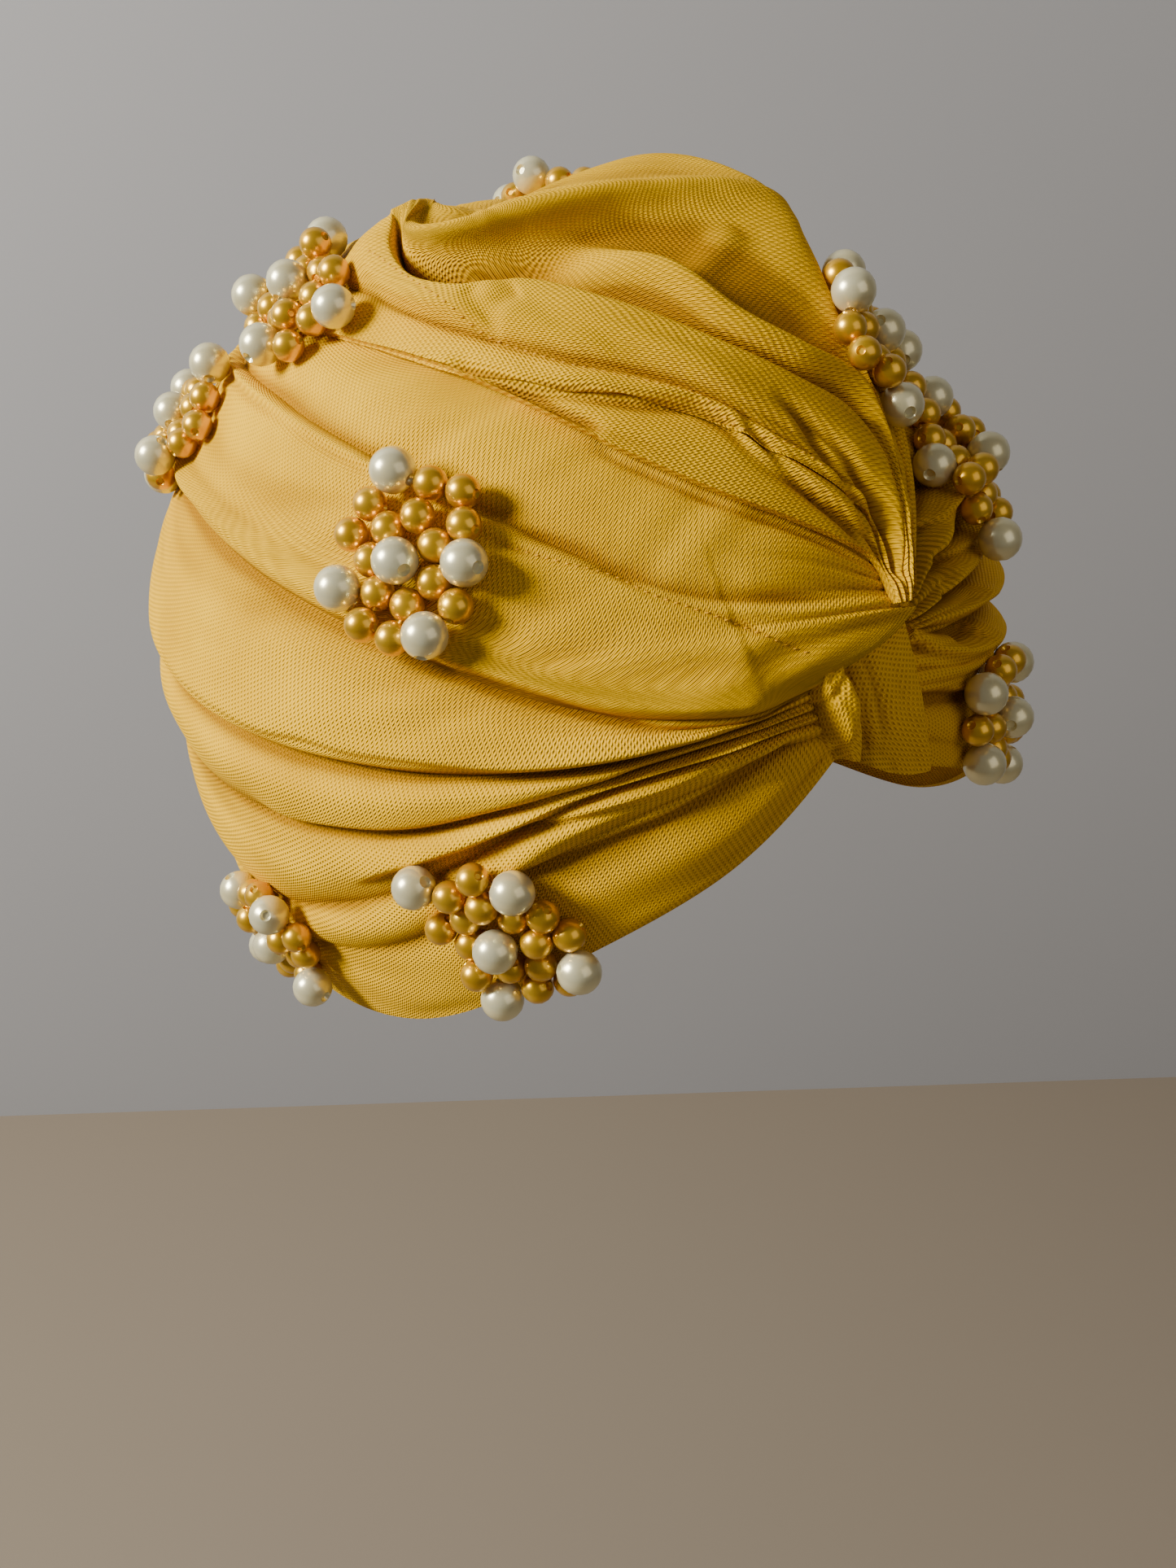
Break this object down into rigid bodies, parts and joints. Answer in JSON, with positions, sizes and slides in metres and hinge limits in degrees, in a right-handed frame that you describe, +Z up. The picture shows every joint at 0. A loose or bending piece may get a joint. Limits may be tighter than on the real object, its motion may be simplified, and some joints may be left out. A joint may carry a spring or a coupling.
{
  "type": "turban hat",
  "caption": "Pull-on turban hat of pleated stretch cloth, twisted over the brow and folded over the crown, with sewn clusters of round ivory and gold pearls; it keeps its worn form.",
  "frame": {"origin": "where the top of the wearer's head sits inside the hat, at the middle of its width and length", "axes": "+Z up, -Y towards the brow, where the twist is, and -X towards the wearer's right"},
  "size_m": [0.1759, 0.1998, 0.1648],
  "materials": {
    "cloth": "mustard-yellow knitted stretch cloth with a soft satin sheen",
    "ivory_pearl": "pearlescent ivory coating on a round bead",
    "gold_pearl": "pearlescent gold coating on a round bead"
  },
  "bodies": {
    "root": {"right_drape": "cloth", "crown_fold": "cloth", "left_drape": "cloth", "twist_loops": "cloth", "pearls_right_side": "ivory_pearl", "pearls_right_temple": "ivory_pearl", "pearls_right_crown": "ivory_pearl", "pearls_right_back": "ivory_pearl", "pearls_right_ear": "ivory_pearl", "pearls_top": "ivory_pearl", "pearls_left_crown": "ivory_pearl", "pearls_left_temple": "ivory_pearl", "pearls_left_brow": "ivory_pearl", "pearls_left_back": "ivory_pearl", "pearls_left_ear": "ivory_pearl"}
  },
  "joints": []
}
